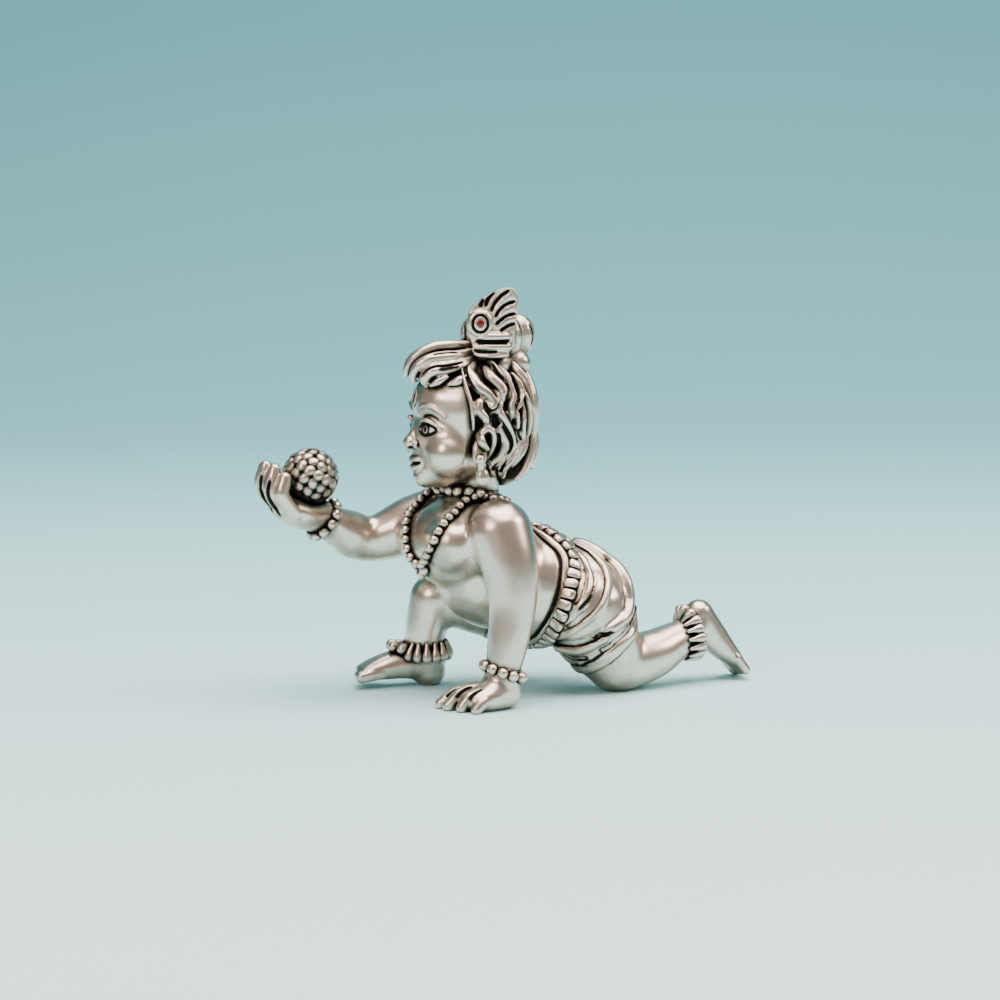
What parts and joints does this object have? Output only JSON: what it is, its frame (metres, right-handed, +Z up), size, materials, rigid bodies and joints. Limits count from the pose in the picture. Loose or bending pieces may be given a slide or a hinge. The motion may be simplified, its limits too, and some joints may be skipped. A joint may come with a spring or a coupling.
{
  "type": "crawling child deity figurine",
  "caption": "Cast silver figurine of a crawling child deity that holds up a round sweet, with curled hair, feather crest, beads and a folded loincloth.",
  "frame": {"origin": "on the ground, under the middle of the bounding box", "axes": "+X from the raised hand to the lifted rear foot, so the figure faces -X; +Y to the figure's right side; +Z up"},
  "size_m": [0.078, 0.0316, 0.0631],
  "materials": {
    "silver": "polished silver with a warm tone, oxidised dark in the recesses"
  },
  "bodies": {
    "root": {"idol": "silver"}
  },
  "joints": []
}
